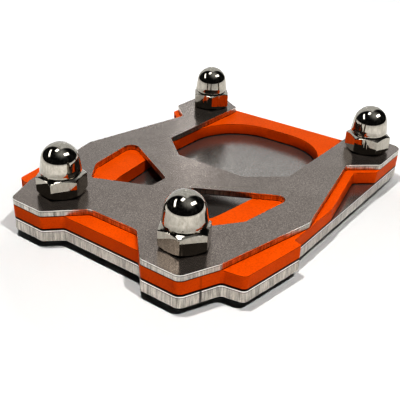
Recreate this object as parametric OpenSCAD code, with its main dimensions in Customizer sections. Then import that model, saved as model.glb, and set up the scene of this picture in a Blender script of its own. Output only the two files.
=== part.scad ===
// Kickstand foot enlarger: three cut plates clamped round the foot of a side stand by four
// countersunk screws and cap nuts. Millimetres, +Z up. The part stands on the
// four screw heads. Origin: on the ground, under the middle of the plates.
// The front is the closed end, with the two tabs. The foot enters at the back, between the lobes.

/* [Plates] */
// Length of the plates, front to back
body_length = 86.2; // [82:0.2:90]
// Width of the plates, behind the shoulders
body_width = 66.6; // [65:0.2:70]
// How far each shoulder of the base and the spacer stands out past the sides
shoulder_reach = 2.1; // [1.5:0.1:4]
// Length of a shoulder, front to back
shoulder_length = 17; // [12:0.5:20]
// Thickness of the base plate, which carries the stand's foot
base_thickness = 3; // [3:0.5:5]
// Thickness of the spacer plate with its coat, as thick as the foot
spacer_thickness = 3.2; // [2:0.1:6]
// Thickness of the clamp plate, which holds the foot down
clamp_thickness = 1.5; // [1:0.25:3]
// Radius of the outline's small corners
corner_radius = 1.4; // [0.8:0.1:1.8]
// Radius of the two rear corners
rear_corner_radius = 3; // [1:0.5:5]
// Radius of the tabs' two outer corners
tab_corner_radius = 2; // [1:0.1:2.5]

/* [Screw pattern] */
// Material beside each front screw, to the plates' side
front_inset = 15.5; // [14:0.1:17]
// Material beside each back screw, to the plates' side
back_inset = 7.3; // [7:0.1:9]
// Material in front of the front screws
front_margin = 9.7; // [8.5:0.1:12]
// Material behind the back screws
back_margin = 7.5; // [7:0.1:10]

/* [Front tabs] */
// Tab width on the inner side of its screw
tab_inner = 3.4; // [2:0.1:4]
// Tab width on the outer side of its screw
tab_outer = 6.2; // [5.8:0.1:7]
// Depth of the recess between the tabs in the base and the spacer
plate_recess = 3.5; // [2:0.1:5]
// Depth of the same recess in the clamp plate
clamp_recess = 7.6; // [6:0.1:9]

/* [Waist] */
// Distance of the waist in front of the back screws
waist_distance = 13.2; // [11:0.2:17]
// How far the clamp plate is cut in at its waist
clamp_waist = 6.7; // [5:0.1:8]
// How far the spacer is cut in at its waist
spacer_waist = 4.4; // [3:0.1:4.8]

/* [Foot pocket] */
// Width of the pocket for the foot
pocket_width = 37.2; // [32:0.2:38]
// Width of the spacer's bar behind the pocket
back_bar = 6.4; // [5:0.1:12]
// Width by which each side of the pocket tapers in towards the front
pocket_taper = 5; // [0:0.5:6]
// Length of the pocket's parallel sides, at its back
pocket_straight = 24; // [18:0.5:28]
// Distance of the pocket behind the front screws
pocket_setback = 6; // [5:0.5:7]
// Corner radius at the back of the pocket
pocket_back_radius = 15; // [8:1:17]
// Corner radius at the front of the pocket
pocket_front_radius = 12; // [6:1:13]
// Length of the foot that the clamp plate covers
clamp_grip = 27; // [24:0.5:30]

/* [Clamp windows] */
// Width of the web between the two windows
web_width = 8; // [6:0.5:12]
// Clear distance from a front screw to its window
window_screw_gap = 9.1; // [8.5:0.1:10]
// Width of the strut outside a window
strut_width = 8.4; // [6:0.2:10]
// Length of a window
window_length = 22.9; // [20:0.1:24]

/* [Fasteners] */
// Nominal thread size
thread_diameter = 6; // [5:0.5:6]
// Clearance hole through the plates
hole_diameter = 6.6; // [6.4:0.1:7]
// Head diameter of the countersunk screw
head_diameter = 12.6; // [12:0.1:13]
// How far the screw heads stand out under the base plate, to carry the part
head_stand = 1.9; // [1:0.1:2.2]
// Width across the flats of the screw's socket
socket_flats = 4; // [3:0.5:5]
// Depth of the screw's socket
socket_depth = 2.4; // [1.5:0.1:2.5]
// Length of screw that reaches into the nut
thread_engagement = 6.6; // [5:0.1:7]
// Width across the flats of the cap nut
nut_flats = 10; // [9.5:0.5:11]
// Height of the nut's hexagon
nut_hex_height = 4.8; // [4:0.1:5.5]
// Full height of the cap nut
nut_height = 12; // [11.5:0.1:14]
// Diameter of the cap at its foot, above the groove
cap_diameter = 9.5; // [9:0.1:9.6]
// Diameter of the dome
dome_diameter = 8.8; // [8:0.1:9]
// Turn of each nut as it was tightened: front left, back left, back right, front right
nut_turns = [52.8, 8.3, 18, 57.6]; // [0:0.1:60]

/* [Hidden] */

$fn = 96;
// Gap between threads, and between a screw head and its countersink
fit_gap = 0.05;
// Height of a screw head's cylindrical rim
head_rim = 0.3;
// Inset of the nut's bearing face, and the groove between its hexagon and its cap
face_inset = 0.5;
groove_height = 0.7;
groove_depth = 0.5;
// Unthreaded room left above the screw in the blind nut
bore_reserve = 1.4;
// Overshoot of a cut past the face that it opens
cut = 1;
// Overlap of each rounded corner's arc with the straight sides that it joins
overlap = 0.001;

front_y = -body_length / 2;
back_y = body_length / 2;
side_x = body_width / 2;
front_row = front_y + front_margin;
back_row = back_y - back_margin;
front_x = side_x - front_inset;
back_x = side_x - back_inset;
waist_y = back_row - waist_distance;
spacer_z = head_stand + base_thickness;
clamp_z = spacer_z + spacer_thickness;
stack = clamp_z + clamp_thickness;

// Screw places, in the order of nut_turns
places = [[-front_x, front_row], [-back_x, back_row], [back_x, back_row], [front_x, front_row]];

// A tab's outer side leans out to its root, where the shoulder's front starts
tab_lean = 3.8;
shoulder_x = side_x + shoulder_reach;
shoulder_front = front_row - 0.2;
shoulder_slant = 0.9;
shoulder_taper = 2.6;
shoulder_step = 0.6;
step_radius = 0.5;
// The back lobes are cut off at a slant, which starts just inside their screw
lobe_inner = 0.5;
lobe_slope = 0.61;
back_recess = 3.1;
// Run of the waist's long side and of its short side, for each millimetre of depth
waist_run = 4.78;
waist_rise = 0.88;
// The clamp plate's mouth is as wide as the pocket, and its two inner corners are cut off
mouth_chamfer = [8.6, 7.3];
mouth_lip_radius = 0.6;
// A window's two slanted ends, the length of its side along the web, and its outer knee
window_slant = 6;
web_length = 5.3;
window_knee = 4.6;
// Its corner radii, from the back end of the web round to the waist
window_radii = [1, 1.5, 0.8, 3, 2];

function unit(v) = v / norm(v);
function flip(points) = [for (i = [len(points) - 1:-1:0]) [-points[i][0], points[i][1], points[i][2]]];
function whole(half) = concat(half, flip(half));

// One corner of an outline: its two tangent points and the centre of its arc
function arc_of(before, corner, after, r) =
    let (u = unit(before - corner), v = unit(after - corner),
         half_angle = acos(u * v) / 2,
         run = r / tan(half_angle))
    [corner + u * run, corner + v * run, corner + unit(u + v) * r / sin(half_angle)];

// Closed outline from points [x, y, corner radius], anticlockwise, with true arcs at its corners
module outline(points) {
    count = len(points);
    at = [for (p = points) [p[0], p[1]]];
    arcs = [for (i = [0:count - 1])
        arc_of(at[(i + count - 1) % count], at[i], at[(i + 1) % count], points[i][2])];
    turns = [for (i = [0:count - 1])
        cross(at[i] - at[(i + count - 1) % count], at[(i + 1) % count] - at[i])];
    module arc(i) {
        translate(arcs[i][2]) circle(points[i][2] + overlap);
    }
    difference() {
        union() {
            polygon([for (i = [0:count - 1]) each [arcs[i][0], arcs[i][1]]]);
            for (i = [0:count - 1]) if (turns[i] > 0) arc(i);
        }
        for (i = [0:count - 1]) if (turns[i] < 0) arc(i);
    }
}

// Front tab, from the recess to its outer end
function front_tab(recess) = [
    [front_x - tab_inner - recess, front_y + recess, corner_radius],
    [front_x - tab_inner, front_y, corner_radius],
    [front_x + tab_outer, front_y, tab_corner_radius]];

// Waist cut into one side to the given depth, seen from the front to the back
function waist(depth) = [
    [side_x, waist_y - depth * waist_run, corner_radius],
    [side_x - depth, waist_y, corner_radius],
    [side_x, waist_y + depth * waist_rise, corner_radius]];

// Back lobe, from the rear corner to where its slant ends
function back_lobe(recess) = [
    [side_x, back_y, rear_corner_radius],
    [back_x - lobe_inner, back_y, corner_radius],
    [back_x - lobe_inner - recess / lobe_slope, back_y - recess, corner_radius]];

// Root of a tab
root = [[front_x + tab_outer + tab_lean, shoulder_front - shoulder_slant, corner_radius]];

// Shoulder of the base and the spacer, with the step behind it
shoulder = [
    [shoulder_x - shoulder_taper, shoulder_front, corner_radius],
    [shoulder_x, shoulder_front + shoulder_length, step_radius],
    [side_x, shoulder_front + shoulder_length + shoulder_step, step_radius]];

base_half = concat(front_tab(plate_recess), root, shoulder, back_lobe(back_recess));
spacer_half = concat(front_tab(plate_recess), root, shoulder, waist(spacer_waist),
    back_lobe(back_recess));

pocket_x = pocket_width / 2;
pocket_y = front_row + pocket_setback;
pocket_back = back_y - back_recess - back_bar;
pocket_half = [
    [pocket_x - pocket_taper, pocket_y, pocket_front_radius],
    [pocket_x, pocket_back - pocket_straight, pocket_back_radius],
    [pocket_x, pocket_back, pocket_back_radius]];

mouth_y = pocket_y + clamp_grip;
clamp_half = concat(front_tab(clamp_recess), root, waist(clamp_waist), [
    [side_x, back_y, rear_corner_radius],
    [back_x - lobe_inner, back_y, corner_radius],
    [pocket_x, back_y - (back_x - lobe_inner - pocket_x) * lobe_slope, mouth_lip_radius],
    [pocket_x, mouth_y + mouth_chamfer[1], corner_radius],
    [pocket_x - mouth_chamfer[0], mouth_y, corner_radius]]);

window_y = front_row + window_screw_gap;
window = [
    [web_width / 2, window_y + window_slant + web_length, window_radii[0]],
    [web_width / 2, window_y + window_slant, window_radii[1]],
    [front_x, window_y, window_radii[2]],
    [front_x + window_knee, window_y + window_slant, window_radii[3]],
    [side_x - strut_width, window_y + window_length, window_radii[4]]];

module at_screws() {
    for (place = places) translate(place) children();
}

// Stainless base plate, countersunk from below
module base_plate() color([0.62, 0.60, 0.58]) translate([0, 0, head_stand]) difference() {
    linear_extrude(base_thickness) outline(whole(base_half));
    at_screws() {
        translate([0, 0, -cut]) cylinder(d = hole_diameter, h = base_thickness + 2 * cut);
        countersink();
    }
}

// Cone that the screw head seats in, open at the underside
module countersink() {
    mouth = head_diameter / 2 + head_rim + fit_gap - head_stand;
    translate([0, 0, -cut]) cylinder(r1 = mouth + cut, r2 = 0, h = mouth + cut);
}

// Powder-coated spacer round the foot
module spacer_plate() color([0.95, 0.36, 0.05]) translate([0, 0, spacer_z]) difference() {
    linear_extrude(spacer_thickness) difference() {
        outline(whole(spacer_half));
        outline(whole(pocket_half));
    }
    at_screws() translate([0, 0, -cut]) cylinder(d = hole_diameter, h = spacer_thickness + 2 * cut);
}

// Stainless clamp plate with a mouth for the stand's leg and two windows
module clamp_plate() color([0.62, 0.60, 0.58]) translate([0, 0, clamp_z]) difference() {
    linear_extrude(clamp_thickness) difference() {
        outline(whole(clamp_half));
        outline(window);
        mirror([1, 0]) outline(window);
    }
    at_screws() translate([0, 0, -cut]) cylinder(d = hole_diameter, h = clamp_thickness + 2 * cut);
}

// Cap nut: a hexagon with both ends bevelled, a groove, and a cap that tapers into its dome
module cap_nut(i) color([0.80, 0.79, 0.77]) translate([places[i][0], places[i][1], stack]) {
    face_r = nut_flats / 2 - face_inset;
    reach = nut_flats / 5;
    bevel = reach * tan(30);
    cap_r = cap_diameter / 2;
    cap_z = nut_hex_height + groove_height;
    dome_r = dome_diameter / 2;
    dome_z = nut_height - dome_r;
    // The cap's side touches the dome at this angle above the dome's middle
    taper = acos(dome_r / norm([cap_r, dome_z - cap_z])) - atan2(dome_z - cap_z, cap_r);
    touch = [dome_r * cos(taper), dome_z + dome_r * sin(taper)];
    difference() {
        union() {
            intersection() {
                rotate(nut_turns[i]) cylinder(d = nut_flats / cos(30), h = nut_hex_height, $fn = 6);
                rotate_extrude() polygon([[0, 0], [face_r, 0], [face_r + reach, bevel],
                    [face_r + reach, nut_hex_height - bevel], [face_r, nut_hex_height],
                    [0, nut_hex_height]]);
            }
            rotate_extrude() {
                polygon([[0, nut_hex_height - cut], [cap_r - groove_depth, nut_hex_height - cut],
                    [cap_r - groove_depth, cap_z], [cap_r, cap_z], touch, [0, touch[1]]]);
                intersection() {
                    translate([0, dome_z]) circle(dome_r + overlap);
                    translate([0, dome_z]) square(2 * dome_r);
                }
            }
        }
        translate([0, 0, -cut])
            cylinder(d = thread_diameter + 2 * fit_gap, h = thread_engagement + bore_reserve + cut);
    }
}

// Countersunk screw with a hexagon socket, put in from below
module screw(i) color([0.55, 0.55, 0.56]) translate(places[i]) {
    shank_r = thread_diameter / 2;
    head_r = head_diameter / 2;
    tip_z = stack + thread_engagement;
    tip_chamfer = 0.6;
    difference() {
        rotate_extrude() polygon([[0, 0], [head_r, 0], [head_r, head_rim],
            [shank_r, head_rim + head_r - shank_r], [shank_r, tip_z - tip_chamfer],
            [shank_r - tip_chamfer, tip_z], [0, tip_z]]);
        translate([0, 0, -cut])
            cylinder(d = socket_flats / cos(30), h = socket_depth + cut, $fn = 6);
    }
}

base_plate();
spacer_plate();
clamp_plate();
cap_nut(0);  // cap_nut_front_left
cap_nut(1);  // cap_nut_back_left
cap_nut(2);  // cap_nut_back_right
cap_nut(3);  // cap_nut_front_right
screw(0);  // screw_front_left
screw(1);  // screw_back_left
screw(2);  // screw_back_right
screw(3);  // screw_front_right
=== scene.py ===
import math

import bpy
from mathutils import Matrix, Vector


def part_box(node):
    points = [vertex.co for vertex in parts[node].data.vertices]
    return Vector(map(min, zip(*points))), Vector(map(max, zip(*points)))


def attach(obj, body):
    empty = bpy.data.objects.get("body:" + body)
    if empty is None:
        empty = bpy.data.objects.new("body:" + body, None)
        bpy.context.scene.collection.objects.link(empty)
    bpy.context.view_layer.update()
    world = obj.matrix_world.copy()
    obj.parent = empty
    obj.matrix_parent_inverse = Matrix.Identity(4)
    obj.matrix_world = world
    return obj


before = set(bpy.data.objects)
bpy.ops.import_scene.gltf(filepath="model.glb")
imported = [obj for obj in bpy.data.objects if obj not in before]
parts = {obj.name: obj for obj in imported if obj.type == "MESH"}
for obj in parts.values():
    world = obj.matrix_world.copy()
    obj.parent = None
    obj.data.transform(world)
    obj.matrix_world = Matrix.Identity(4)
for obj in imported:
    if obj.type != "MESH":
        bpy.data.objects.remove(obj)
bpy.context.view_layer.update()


# Base plate: 3 mm stainless sheet, cut out with an abrasive jet, so its faces keep the mill's
# satin skin and its edges are streaked from top to bottom. The jet left a nick in one tab's
# side. The plate is held off the ground, and painted shade darkens its underside.

MM = 0.001
BASE_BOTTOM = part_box("base_plate")[0].z / MM
BASE_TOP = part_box("base_plate")[1].z / MM
BASE_BROKEN_EDGE = 0.2
SHARP_ANGLE = 35

# Sizes in mm of what shows on the skin and on the cut edge.
BLOTCH = 11
CLOUD = 2.2
GRAIN = 0.4
SPECK = 0.22
STREAK = 0.18
BROAD_STREAK = 0.8
PIT = 0.25
RELIEF = 0.03

# Each cut edge has a painted highlight, a bright line below its top, and a painted dark reflection
# lower.
PAINTED_LINE_REACH = 0.14
DARK_REFLECTION_DROP = 0.24
BASE_HIGHLIGHT_DROP = 0.42
# Reach in mm of the painted shade in the gap between the base plate and the spacer.
BASE_GAP_SHADE_REACH = 0.3
NOTCH_PLACE = (25.95, -38.7)
NOTCH_RADIUS = 0.35

BASE_SKIN = {"dull": (0.245, 0.227, 0.213, 1), "mid": (0.355, 0.332, 0.314, 1),
             "pale": (0.49, 0.463, 0.44, 1)}
BASE_ROUGHNESS = 0.14
# Painted shade on the underside, up to a reach in mm above the bottom, fading out over the fade.
UNDERSIDE_SHADE = (0.10, 0.095, 0.09, 1)
UNDERSIDE_SHADE_REACH = 0.1
UNDERSIDE_SHADE_FADE = 0.2
CUT = (0.74, 0.70, 0.64, 1)
# Dark of the jet streaks, also used for the painted dark reflection under the highlight.
CUT_STREAK_AND_REFLECTION_DARK = (0.17, 0.16, 0.145, 1)
CUT_HIGHLIGHT = (0.92, 0.90, 0.86, 1)
# Near-black painted shade for the gaps between the plates.
GAP_SHADE = (0.012, 0.009, 0.008, 1)


class Shade:
    """A shader socket that works in Python sums."""

    def __init__(self, tree, socket=None):
        self.tree = tree
        self.socket = socket

    def node(self, kind, settings=None, inputs=None, output=0):
        """A new node of that kind, wired up, as the Shade of one of its outputs."""
        made = self.tree.nodes.new("ShaderNode" + kind)
        for name, value in (settings or {}).items():
            setattr(made, name, value)
        connect(made, inputs or {})
        return Shade(self.tree, made.outputs[output])

    def math(self, operation, *values):
        return self.node("Math", {"operation": operation}, dict(enumerate(values)))

    def __add__(self, other):
        return self.math("ADD", self, other)

    def __radd__(self, other):
        return self.math("ADD", other, self)

    def __sub__(self, other):
        return self.math("SUBTRACT", self, other)

    def __rsub__(self, other):
        return self.math("SUBTRACT", other, self)

    def __mul__(self, other):
        return self.math("MULTIPLY", self, other)

    def __rmul__(self, other):
        return self.math("MULTIPLY", other, self)

    def blend(self, low, high):
        """Colour from low to high as this value goes from 0 to 1."""
        return self.node("Mix", {"data_type": "RGBA"}, {0: self, 6: low, 7: high}, 2)

    def rise(self, start, end):
        """0 up to start, 1 from end on, and even in between. With end below start it falls."""
        return self.node("MapRange", {"clamp": True}, {0: self, 1: start, 2: end, 3: 0, 4: 1})

    def along(self, axis):
        """This vector's part along x, y or z, given as 0, 1 or 2."""
        return self.node("SeparateXYZ", None, {0: self}, axis)


def connect(node, values):
    """Sets sockets of a node to numbers and colours, or links them to Shades."""
    for name, value in values.items():
        if isinstance(value, Shade):
            value.tree.links.new(value.socket, node.inputs[name])
        else:
            node.inputs[name].default_value = value


def new_finish(name):
    """A material with one Principled shader, and the places of its surface in the object."""
    material = bpy.data.materials.new(name)
    material.use_nodes = True
    tree = material.node_tree
    here = Shade(tree).node("TexCoord", output="Object")
    return material, tree.nodes["Principled BSDF"], here


def noise(here, size, detail=2, rough=0.5, stretch=(1, 1, 1)):
    """Noise with features of that size in mm, drawn out along an axis by a small stretch."""
    scaled = here.node("Mapping", {"vector_type": "POINT"},
                       {"Vector": here, "Scale": tuple(v / (size * MM) for v in stretch)})
    return here.node("TexNoise", {"noise_dimensions": "3D"},
                     {"Vector": scaled, "Scale": 1, "Detail": detail, "Roughness": rough})


def bump(here, height, depth):
    """Normal of a surface that height, from 0 to 1, raises by up to depth in mm."""
    return here.node("Bump", None, {"Height": height, "Distance": depth * MM, "Strength": 1})


def level(here):
    """1 on faces that lie level, 0 on upright ones."""
    up = here.node("NewGeometry", output="True Normal").along(2)
    return up.math("ABSOLUTE", up).rise(0.6, 0.8)


def near_height(here, height, reach):
    """1 within reach of a height, both in mm, fading out over the last third."""
    away = here.along(2) - height * MM
    return away.math("ABSOLUTE", away).rise(reach * MM, reach * MM * 0.65)


def in_notch(here):
    """1 in the small upright notch that the jet left."""
    plan = here.node("VectorMath", {"operation": "MULTIPLY"}, {0: here, 1: (1, 1, 0)})
    centre = (NOTCH_PLACE[0] * MM, NOTCH_PLACE[1] * MM, 0)
    away = here.node("VectorMath", {"operation": "DISTANCE"}, {0: plan, 1: centre}, "Value")
    return away.rise(NOTCH_RADIUS * MM, NOTCH_RADIUS * MM * 0.5)


def sheet_steel(name, skin_colours, roughness, highlight_height, gap_shade_height, gap_shade_reach, notched=False):
    """Mill skin on level faces and jet streaks on upright ones. Heights and reach are in mm."""
    material, shader, here = new_finish(name)
    flat = level(here)

    blotch = noise(here, BLOTCH, 3, 0.6)
    cloud = noise(here, CLOUD, 4, 0.7)
    grain = noise(here, GRAIN, 3, 0.75)
    speck = noise(here, SPECK, 2, 0.6)
    # Painted shade darkens the underside of the plate.
    underside_shade_end = (BASE_BOTTOM + UNDERSIDE_SHADE_REACH) * MM
    underside_shade = here.along(2).rise(underside_shade_end + UNDERSIDE_SHADE_FADE * MM, underside_shade_end)
    skin = (cloud.rise(0.32, 0.68) * 0.5 + 0.5).blend(skin_colours["dull"], skin_colours["mid"])
    skin = (blotch.rise(0.42, 0.66) * 0.3).blend(skin, skin_colours["pale"])
    skin = (grain.rise(0.42, 0.58) * 0.85).blend(skin, skin_colours["dull"])
    skin = (speck.rise(0.5, 0.64) * 0.7).blend(skin, skin_colours["pale"])
    skin = underside_shade.blend(skin, UNDERSIDE_SHADE)

    fine = noise(here, STREAK, 2, 0.6, (1, 1, 0.05))
    broad = noise(here, BROAD_STREAK, 2, 0.5, (1, 1, 0.15))
    pits = noise(here, PIT, 2, 0.6)
    streaks = fine.rise(0.36, 0.6) * 0.5 + broad.rise(0.34, 0.58) * 0.3 + pits.rise(0.3, 0.7) * 0.2
    side = streaks.blend(CUT_STREAK_AND_REFLECTION_DARK, CUT)
    # Painted dark reflection, then a painted highlight, along the top of each cut edge.
    side = (near_height(here, highlight_height - DARK_REFLECTION_DROP, PAINTED_LINE_REACH) * 0.6).blend(side, CUT_STREAK_AND_REFLECTION_DARK)
    side = near_height(here, highlight_height, PAINTED_LINE_REACH).blend(side, CUT_HIGHLIGHT)
    # Painted shade along the gap where this plate meets the spacer.
    dark = near_height(here, gap_shade_height, gap_shade_reach)
    # Painted shade darkens the nick that the jet left.
    if notched:
        dark = dark.math("MAXIMUM", dark, in_notch(here) * 0.8)
    side = dark.blend(side, GAP_SHADE)

    rough_skin = roughness + 0.07 * cloud + 0.06 * grain + 0.05 * blotch
    rough_side = 0.42 - 0.14 * streaks
    skin_relief = 0.21 * grain + 0.14 * speck
    connect(shader, {
        "Base Color": flat.blend(side, skin),
        "Metallic": 1 - 0.15 * flat,
        "Specular IOR Level": 0,
        "Roughness": flat * rough_skin + (1 - flat) * rough_side,
        "Normal": bump(here, flat * skin_relief + (1 - flat) * streaks, RELIEF),
    })
    return material


def dress(node, material, broken_edge):
    """Gives a CAD piece its finish and takes the sharpness off its edges, by a width in mm."""
    piece = parts[node]
    piece.data.materials.clear()
    piece.data.materials.append(material)
    weld = piece.modifiers.new("weld", "WELD")
    weld.merge_threshold = 0.002 * MM
    soft = piece.modifiers.new("broken_edges", "BEVEL")
    soft.width = broken_edge * MM
    soft.segments = 2
    soft.limit_method = "ANGLE"
    soft.angle_limit = math.radians(SHARP_ANGLE)
    soft.harden_normals = True
    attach(piece, "root")


base_steel = sheet_steel("base_sheet_steel", BASE_SKIN, BASE_ROUGHNESS, BASE_TOP - BASE_HIGHLIGHT_DROP,
                         BASE_TOP, BASE_GAP_SHADE_REACH, notched=True)
dress("base_plate", base_steel, BASE_BROKEN_EDGE)


# Spacer plate: aluminium with a thin, even, satin coat of orange powder that has flowed a
# little at the edges. It lies between the two steel plates, and the foot sits in its pocket.

SPACER_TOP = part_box("spacer_plate")[1].z / MM
SPACER_BROKEN_EDGE = 0.25
PEEL = 0.5
PEEL_RELIEF = 0.02
DRIFT = 7
SPECKLE = 0.4
ORANGE = (0.86, 0.13, 0.001, 1)
ORANGE_DEEP_AND_SIDE_SHADE = (0.55, 0.066, 0.001, 1)
JOINT_SHADE = (0.02, 0.002, 0.0, 1)


def powder_coat():
    """Satin orange, with painted shade on the upright faces and where it meets the steel plates."""
    material, shader, here = new_finish("orange_powder_coat")
    upright = 1 - level(here)
    peel = noise(here, PEEL)
    drift = noise(here, DRIFT)
    speckle = noise(here, SPECKLE, 3, 0.7)
    coat = (drift.rise(0.35, 0.65) * 0.2).blend(ORANGE, ORANGE_DEEP_AND_SIDE_SHADE)
    coat = (speckle.rise(0.45, 0.75) * 0.6).blend(coat, ORANGE_DEEP_AND_SIDE_SHADE)
    # Painted shade darkens the upright faces.
    coat = (upright * 0.4).blend(coat, ORANGE_DEEP_AND_SIDE_SHADE)
    # Painted shade in the gap below the coat and along the joint under the clamp plate.
    dark = near_height(here, BASE_TOP, BASE_GAP_SHADE_REACH)
    dark = dark.math("MAXIMUM", dark, near_height(here, SPACER_TOP, PAINTED_LINE_REACH) * upright * 0.6)
    # Painted shade on the coat beside the nick.
    dark = dark.math("MAXIMUM", dark, in_notch(here) * 0.2)
    connect(shader, {
        "Base Color": dark.blend(coat, JOINT_SHADE),
        "Metallic": 0,
        "Roughness": 0.34 + 0.12 * peel,
        "Specular IOR Level": 0.04,
        "Normal": bump(here, peel, PEEL_RELIEF),
    })
    return material


dress("spacer_plate", powder_coat(), SPACER_BROKEN_EDGE)


# Clamp plate: stainless sheet of half the base plate's thickness, cut by the same jet. It has a
# browner skin, holds the stand's foot down in the pocket, and carries the four nuts.

CLAMP_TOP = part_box("clamp_plate")[1].z / MM
CLAMP_BROKEN_EDGE = 0.13
CLAMP_HIGHLIGHT_DROP = 0.08
# Reach in mm of the painted shade in the gap between the clamp plate and the spacer.
CLAMP_GAP_SHADE_REACH = 0.16
CLAMP_ROUGHNESS = 0.11
CLAMP_SKIN = {"dull": (0.18, 0.153, 0.137, 1), "mid": (0.284, 0.248, 0.224, 1),
              "pale": (0.416, 0.369, 0.336, 1)}

clamp_steel = sheet_steel("clamp_sheet_steel", CLAMP_SKIN, CLAMP_ROUGHNESS, CLAMP_TOP - CLAMP_HIGHLIGHT_DROP,
                          SPACER_TOP, CLAMP_GAP_SHADE_REACH)
dress("clamp_plate", clamp_steel, CLAMP_BROKEN_EDGE)


# Screws: countersunk, with hexagon sockets, in plain bright steel. They go in from below, and
# the part stands on their heads, which are all that shows of them.

CORNERS = ("front_left", "back_left", "back_right", "front_right")
SCREW_BROKEN_EDGE = 0.06
TURNING_MARK = 0.3
TURNING_RELIEF = 0.01
SCREW_STEEL = (0.50, 0.49, 0.48, 1)
SCREW_BRIGHT = (0.60, 0.59, 0.57, 1)


def screw_steel():
    """Bright steel with the fine rings that turning leaves."""
    material, shader, here = new_finish("bright_screw_steel")
    turned = noise(here, TURNING_MARK, stretch=(1, 1, 3))
    connect(shader, {
        "Base Color": turned.blend(SCREW_STEEL, SCREW_BRIGHT),
        "Metallic": 1,
        "Roughness": 0.28 + 0.15 * turned,
        "Normal": bump(here, turned, TURNING_RELIEF),
    })
    return material


bright_steel = screw_steel()
for corner in CORNERS:
    dress("screw_" + corner, bright_steel, SCREW_BROKEN_EDGE)


# Cap nuts: stainless, each one closed piece, polished to a mirror, with a few faint marks from
# wiping. They are tightened down on the clamp plate.

NUT_BROKEN_EDGE = 0.12
WIPING_MARK = 0.7
POLISH = (0.36, 0.335, 0.29, 1)
POLISH_PALE = (0.50, 0.47, 0.42, 1)


def mirror_polish():
    """A mirror with faint upright wiping marks."""
    material, shader, here = new_finish("mirror_polished_steel")
    marks = noise(here, WIPING_MARK, 4, 0.8, (1, 1, 0.5))
    connect(shader, {
        "Base Color": marks.rise(0.35, 0.65).blend(POLISH, POLISH_PALE),
        "Metallic": 1,
        "Roughness": 0.03 + 0.05 * marks.rise(0.45, 0.75),
    })
    return material


polish = mirror_polish()
for corner in CORNERS:
    dress("cap_nut_" + corner, polish, NUT_BROKEN_EDGE)


# Paper: a large white sheet on a table, which the part stands on. Away from the part it glows,
# so that it stays white to the edges of the picture.

PAPER_SIZE = 6
PAPER_DROP = 0.05
PAPER_WHITE = (0.90, 0.91, 0.92, 1)
NO_GLOW = (0, 0, 0, 1)
FULL_GLOW = (0.5, 0.5, 0.5, 1)
GLOW_MIDDLE = (13, -12)
GLOW_START = 50
GLOW_FULL = 120

bpy.ops.mesh.primitive_plane_add(size=PAPER_SIZE, location=(0, 0, -PAPER_DROP * MM))
floor = bpy.context.object
floor.name = "paper"
paper, paper_shader, on_paper = new_finish("white_paper")
middle = (GLOW_MIDDLE[0] * MM, GLOW_MIDDLE[1] * MM, 0)
from_middle = on_paper.node("VectorMath", {"operation": "DISTANCE"}, {0: on_paper, 1: middle}, "Value")
connect(paper_shader, {
    "Base Color": PAPER_WHITE,
    "Roughness": 0.9,
    "Specular IOR Level": 0,
    "Emission Color": from_middle.rise(GLOW_START * MM, GLOW_FULL * MM).blend(NO_GLOW, FULL_GLOW),
    "Emission Strength": 1,
})
floor.data.materials.append(paper)


# Lights: two small lamps near the part cast its two shadows. The bright metal doesn't mirror
# the lamps. It mirrors four windows with soft edges, which light nothing else.

LAMP_WIDTH = 5
LAMP_COLOUR = (1, 0.98, 0.95)
WINDOW_DISTANCE = 1.5
WINDOW_EDGE = 0.22


def towards(azimuth, elevation):
    """Direction from the object, in degrees. Azimuth runs clockwise from +Y."""
    turn = math.radians(azimuth)
    lift = math.radians(elevation)
    return Vector((math.sin(turn) * math.cos(lift), math.cos(turn) * math.cos(lift), math.sin(lift)))


def hang(light, place, turn=0):
    """Hangs a light up at a place in metres, facing the part and turned about its own axis."""
    facing = place.to_track_quat("Z", "Y").to_matrix() @ Matrix.Rotation(math.radians(turn), 3, "Z")
    hung = bpy.data.objects.new(light.name, light)
    hung.matrix_world = Matrix.Translation(place) @ facing.to_4x4()
    bpy.context.collection.objects.link(hung)
    return hung


def lamp(name, place, power):
    """A small round lamp at a place in mm, which lights the scene and isn't mirrored."""
    light = bpy.data.lights.new(name, "AREA")
    light.shape = "DISK"
    light.size = LAMP_WIDTH * MM
    light.energy = power
    light.color = LAMP_COLOUR
    hang(light, Vector(place) * MM).visible_glossy = False


def mirrored_window(name, azimuth, elevation, wide, long, turn, brightness):
    """A window with soft edges that only shines in mirrors. Its sides are in degrees of view."""
    light = bpy.data.lights.new(name, "AREA")
    light.shape = "RECTANGLE"
    light.size = 2 * WINDOW_DISTANCE * math.tan(math.radians(wide / 2))
    light.size_y = 2 * WINDOW_DISTANCE * math.tan(math.radians(long / 2))
    light.energy = brightness * math.pi * light.size * light.size_y
    light.use_nodes = True
    pane = light.node_tree
    spot = Shade(pane).node("NewGeometry", output="Parametric")
    fade = 1
    for axis in (0, 1):
        from_edge = 0.5 - spot.math("ABSOLUTE", spot.along(axis) - 0.5)
        fade = from_edge.rise(0, WINDOW_EDGE) * fade
    connect(pane.nodes["Emission"], {"Strength": fade})
    hang(light, towards(azimuth, elevation) * WINDOW_DISTANCE, turn).visible_diffuse = False


lamp("lamp_above", (-8, -60, 315), 0.382)
lamp("lamp_right", (132, -62, 225), 0.256)
mirrored_window("window_right", 70, 49, wide=17, long=36, turn=70, brightness=4)
mirrored_window("window_above", 215, 78, wide=17, long=22, turn=30, brightness=4)
mirrored_window("window_left", 226, 41, wide=13, long=42, turn=55, brightness=3)
mirrored_window("spark", 323, 24, wide=3, long=3, turn=0, brightness=4)


# Room: dark, with a grey screen behind the part, to the left, and a soft glow high up on the
# right. These show in the metal, while the camera sees plain white beyond the paper. The
# screen's sides and foot fade in over a pair of values of the direction's x, y and z.

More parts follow.
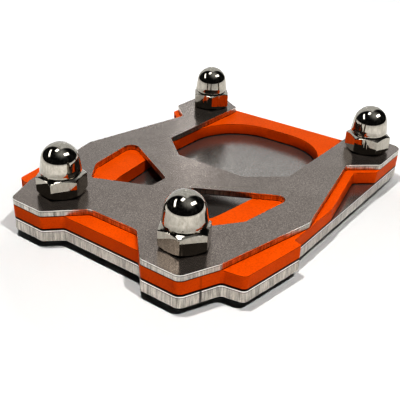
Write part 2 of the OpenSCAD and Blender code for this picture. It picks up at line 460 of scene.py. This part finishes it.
ROOM_DIM = 0.012
CLUTTER = 0.05
GREY_SCREEN = 0.66
SCREEN_SPILL = 0.15
SCREEN_SIDE = (0.10, -0.02)
SCREEN_NEAR_SIDE = (0.06, 0.18)
SCREEN_FOOT = (-0.02, 0.02)
HAZE = 0.4
HAZE_RADIUS = 42
HAZE_AZIMUTH = 105
HAZE_ELEVATION = 66
ROOM_WHITE = (0.97, 0.99, 1, 1)

room_light = bpy.data.worlds.new("dark_room")
bpy.context.scene.world = room_light
room_light.use_nodes = True
room = room_light.node_tree
direction = Shade(room).node("TexCoord", output="Generated")
screen = direction.along(0).rise(*SCREEN_SIDE) * direction.along(1).rise(*SCREEN_NEAR_SIDE)
screen = screen * direction.along(2).rise(*SCREEN_FOOT)
clutter = direction.node("TexNoise", None, {"Vector": direction, "Scale": 5, "Detail": 3})
haze_middle = tuple(towards(HAZE_AZIMUTH, HAZE_ELEVATION))
facing_haze = direction.node("VectorMath", {"operation": "DOT_PRODUCT"},
                             {0: direction, 1: haze_middle}, "Value")
haze = facing_haze.rise(math.cos(math.radians(HAZE_RADIUS)), 1)
mirrored = clutter.rise(0.45, 0.75) * CLUTTER + ROOM_DIM + screen * GREY_SCREEN + haze * haze * HAZE
seen = direction.node("LightPath", output="Is Camera Ray")
diffuse = direction.node("LightPath", output="Is Diffuse Ray")
glow = diffuse * (screen * SCREEN_SPILL + ROOM_DIM) + (1 - diffuse) * mirrored
connect(room.nodes["Background"], {"Color": ROOM_WHITE, "Strength": seen + (1 - seen) * glow})


# Camera: held by hand above the front right corner, a little aslant. The place is in mm and
# the angles are in degrees, with the heading from +X. The picture has hard contrast.

CAMERA_PLACE = (84.247, -119.932, 78.481)
HEADING = 126.0507
PITCH = 28.347
ROLL = 1.843
FOCAL_PIXELS = 640.8
FRAME_PIXELS = 400
SENSOR = 36

heading, pitch, roll = (math.radians(angle) for angle in (HEADING, PITCH, ROLL))
level_ahead = Vector((math.cos(heading), math.sin(heading), 0))
forward = level_ahead * math.cos(pitch) - Vector((0, 0, 1)) * math.sin(pitch)
right = Vector((level_ahead.y, -level_ahead.x, 0))
above = right.cross(forward)
tilted_right = right * math.cos(roll) + above * math.sin(roll)
tilted_up = above * math.cos(roll) - right * math.sin(roll)
camera_data = bpy.data.cameras.new("camera")
camera_data.sensor_width = SENSOR
camera_data.lens = SENSOR * FOCAL_PIXELS / FRAME_PIXELS
camera_data.clip_start = 10 * MM
camera = bpy.data.objects.new("camera", camera_data)
facing = Matrix((tilted_right, tilted_up, -forward)).transposed().to_4x4()
camera.matrix_world = Matrix.Translation(Vector(CAMERA_PLACE) * MM) @ facing
bpy.context.collection.objects.link(camera)
bpy.context.scene.camera = camera
view = bpy.context.scene.view_settings
view.view_transform = "Standard"
view.look = "High Contrast"
